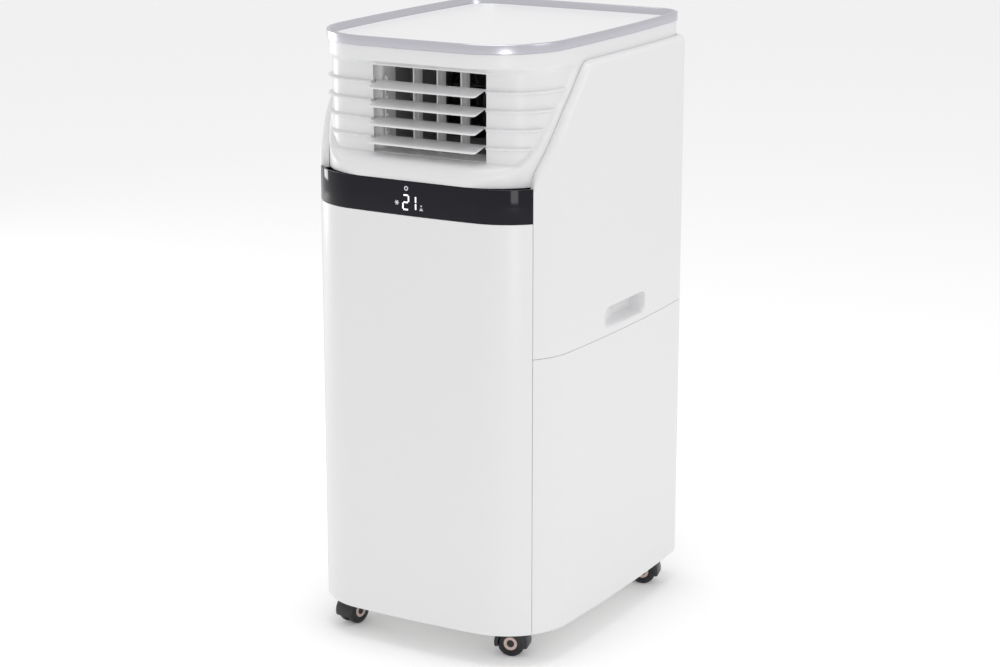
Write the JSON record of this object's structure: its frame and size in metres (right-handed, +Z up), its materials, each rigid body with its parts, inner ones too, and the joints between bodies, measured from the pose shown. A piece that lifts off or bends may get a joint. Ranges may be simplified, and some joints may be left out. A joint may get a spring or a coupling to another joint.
{
  "type": "portable air conditioner",
  "caption": "Free-standing white portable air conditioner with a black touch display, curved louvred air outlet, satin top rim and twin-wheel casters.",
  "frame": {"origin": "bottom centre of the bounding box, on the floor between the casters", "axes": "+X to the right seen from the front, +Y from the front panel to the rear, +Z up"},
  "size_m": [0.375, 0.462, 0.83],
  "materials": {
    "white_shell": "moulded white ABS, satin to gloss",
    "pale_inner": "moulded pale plastic, matt",
    "satin_rim": "satin chrome-look plating",
    "black_window": "polished black acrylic",
    "dark_plastic": "moulded charcoal plastic, matt",
    "caster_black": "black nylon, low sheen",
    "filter_mesh": "woven polypropylene mesh in a frame",
    "coil_fins": "thin rolled fins, satin",
    "grey_steel": "zinc plated and painted, satin",
    "black_steel": "black enamel, satin",
    "circuit_board": "epoxy board with solder resist",
    "screw_steel": "zinc plated"
  },
  "bodies": {
    "cabinet": {"base_tray": "pale_inner", "front_panel": "white_shell", "display_window": "black_window", "head_shell": "white_shell", "rear_upper_shell": "white_shell", "rear_lower_shell": "white_shell", "top_rim": "satin_rim", "top_plate": "white_shell", "grip_cup_left": "white_shell", "grip_cup_right": "white_shell", "outlet_duct": "pale_inner", "exhaust_collar": "dark_plastic", "cord_gland": "dark_plastic", "rear_screw_1": "screw_steel", "rear_screw_2": "screw_steel", "rear_screw_3": "screw_steel", "rear_screw_4": "screw_steel", "rear_screw_5": "screw_steel", "rear_screw_6": "screw_steel", "evaporator": "coil_fins", "condenser": "coil_fins", "mid_tray": "pale_inner", "bulkhead": "grey_steel", "upper_blower_housing": "dark_plastic", "upper_fan_motor": "grey_steel", "lower_blower_housing": "dark_plastic", "lower_fan_motor": "grey_steel", "compressor": "black_steel", "control_box": "dark_plastic", "display_board": "circuit_board", "splash_motor": "grey_steel"},
    "louvre_1": {"louvre_blade_1": "white_shell"},
    "louvre_2": {"louvre_blade_2": "white_shell"},
    "louvre_3": {"louvre_blade_3": "white_shell"},
    "louvre_4": {"louvre_blade_4": "white_shell"},
    "louvre_link": {"louvre_link_rod": "pale_inner"},
    "vane_left": {"vane_1": "pale_inner"},
    "vane_middle": {"vane_2": "pale_inner"},
    "vane_right": {"vane_3": "pale_inner"},
    "vane_link": {"vane_link_bar": "pale_inner"},
    "upper_fan": {"upper_fan_wheel": "dark_plastic"},
    "lower_fan": {"lower_fan_wheel": "dark_plastic"},
    "splasher": {"splash_wheel": "pale_inner"},
    "upper_intake": {"upper_intake_grille": "white_shell", "upper_filter": "filter_mesh"},
    "lower_intake": {"lower_intake_grille": "white_shell", "lower_filter": "filter_mesh"},
    "upper_plug": {"upper_drain_plug": "dark_plastic"},
    "lower_plug": {"lower_drain_plug": "dark_plastic"},
    "swivel_1": {"caster_hood_1": "caster_black"},
    "roller_1": {"caster_wheel_1": "caster_black"},
    "swivel_2": {"caster_hood_2": "caster_black"},
    "roller_2": {"caster_wheel_2": "caster_black"},
    "swivel_3": {"caster_hood_3": "caster_black"},
    "roller_3": {"caster_wheel_3": "caster_black"},
    "swivel_4": {"caster_hood_4": "caster_black"},
    "roller_4": {"caster_wheel_4": "caster_black"}
  },
  "joints": [
    {"name": "louvre_1_tilt", "type": "hinge", "parent": "cabinet", "child": "louvre_1", "pos_m": [0, -0.192, 0.767], "axis": [1, 0, 0], "range_deg": [-30, 30]},
    {"name": "louvre_2_tilt", "type": "hinge", "parent": "cabinet", "child": "louvre_2", "pos_m": [0, -0.192, 0.743], "axis": [1, 0, 0], "range_deg": [-30, 30]},
    {"name": "louvre_3_tilt", "type": "hinge", "parent": "cabinet", "child": "louvre_3", "pos_m": [0, -0.192, 0.719], "axis": [1, 0, 0], "range_deg": [-30, 30]},
    {"name": "louvre_4_tilt", "type": "hinge", "parent": "cabinet", "child": "louvre_4", "pos_m": [0, -0.192, 0.695], "axis": [1, 0, 0], "range_deg": [-30, 30]},
    {"name": "louvre_link_pivot", "type": "hinge", "parent": "louvre_1", "child": "louvre_link", "pos_m": [-0.0669, -0.18026, 0.7695], "axis": [1, 0, 0], "range_deg": [-30, 30]},
    {"name": "vane_left_turn", "type": "hinge", "parent": "cabinet", "child": "vane_left", "pos_m": [-0.026, -0.168, 0.732], "axis": [0, 0, 1], "range_deg": [-30, 30]},
    {"name": "vane_middle_turn", "type": "hinge", "parent": "cabinet", "child": "vane_middle", "pos_m": [0.01, -0.168, 0.732], "axis": [0, 0, 1], "range_deg": [-30, 30]},
    {"name": "vane_right_turn", "type": "hinge", "parent": "cabinet", "child": "vane_right", "pos_m": [0.046, -0.168, 0.732], "axis": [0, 0, 1], "range_deg": [-30, 30]},
    {"name": "vane_link_pivot", "type": "hinge", "parent": "vane_middle", "child": "vane_link", "pos_m": [0.01, -0.154, 0.6873], "axis": [0, 0, 1], "range_deg": [-30, 30]},
    {"name": "upper_fan_spin", "type": "hinge", "parent": "cabinet", "child": "upper_fan", "pos_m": [0, 0.02, 0.714], "axis": [1, 0, 0], "continuous": true},
    {"name": "lower_fan_spin", "type": "hinge", "parent": "cabinet", "child": "lower_fan", "pos_m": [0, 0.04, 0.484], "axis": [1, 0, 0], "continuous": true},
    {"name": "splash_spin", "type": "hinge", "parent": "cabinet", "child": "splasher", "pos_m": [0.08, 0.116, 0.082], "axis": [0, 1, 0], "continuous": true},
    {"name": "upper_intake_slide", "type": "slide", "parent": "cabinet", "child": "upper_intake", "axis": [0, 1, 0], "range_m": [0, 0.06]},
    {"name": "lower_intake_slide", "type": "slide", "parent": "cabinet", "child": "lower_intake", "axis": [0, 1, 0], "range_m": [0, 0.06]},
    {"name": "upper_plug_slide", "type": "slide", "parent": "cabinet", "child": "upper_plug", "axis": [0, 1, 0], "range_m": [0, 0.025]},
    {"name": "lower_plug_slide", "type": "slide", "parent": "cabinet", "child": "lower_plug", "axis": [0, 1, 0], "range_m": [0, 0.025]},
    {"name": "swivel_1_turn", "type": "hinge", "parent": "cabinet", "child": "swivel_1", "pos_m": [-0.13, -0.166, 0.044], "axis": [0, 0, 1], "continuous": true},
    {"name": "roller_1_spin", "type": "hinge", "parent": "swivel_1", "child": "roller_1", "pos_m": [-0.13208, -0.17782, 0.019], "axis": [0.9848, -0.1736, 0], "continuous": true},
    {"name": "swivel_2_turn", "type": "hinge", "parent": "cabinet", "child": "swivel_2", "pos_m": [0.13, -0.166, 0.044], "axis": [0, 0, 1], "continuous": true},
    {"name": "roller_2_spin", "type": "hinge", "parent": "swivel_2", "child": "roller_2", "pos_m": [0.11841, -0.16911, 0.019], "axis": [0.2588, -0.9659, 0], "continuous": true},
    {"name": "swivel_3_turn", "type": "hinge", "parent": "cabinet", "child": "swivel_3", "pos_m": [0.134, 0.164, 0.044], "axis": [0, 0, 1], "continuous": true},
    {"name": "roller_3_spin", "type": "hinge", "parent": "swivel_3", "child": "roller_3", "pos_m": [0.14559, 0.16711, 0.019], "axis": [-0.2588, 0.9659, 0], "continuous": true},
    {"name": "swivel_4_turn", "type": "hinge", "parent": "cabinet", "child": "swivel_4", "pos_m": [-0.134, 0.164, 0.044], "axis": [0, 0, 1], "continuous": true},
    {"name": "roller_4_spin", "type": "hinge", "parent": "swivel_4", "child": "roller_4", "pos_m": [-0.13608, 0.17582, 0.019], "axis": [-0.9848, -0.1736, 0], "continuous": true}
  ],
  "couplings": [
    {"joint": "louvre_2_tilt", "follows": "louvre_1_tilt", "ratio": 1},
    {"joint": "louvre_3_tilt", "follows": "louvre_1_tilt", "ratio": 1},
    {"joint": "louvre_4_tilt", "follows": "louvre_1_tilt", "ratio": 1},
    {"joint": "louvre_link_pivot", "follows": "louvre_1_tilt", "ratio": -1},
    {"joint": "vane_left_turn", "follows": "vane_middle_turn", "ratio": 1},
    {"joint": "vane_right_turn", "follows": "vane_middle_turn", "ratio": 1},
    {"joint": "vane_link_pivot", "follows": "vane_middle_turn", "ratio": -1}
  ]
}
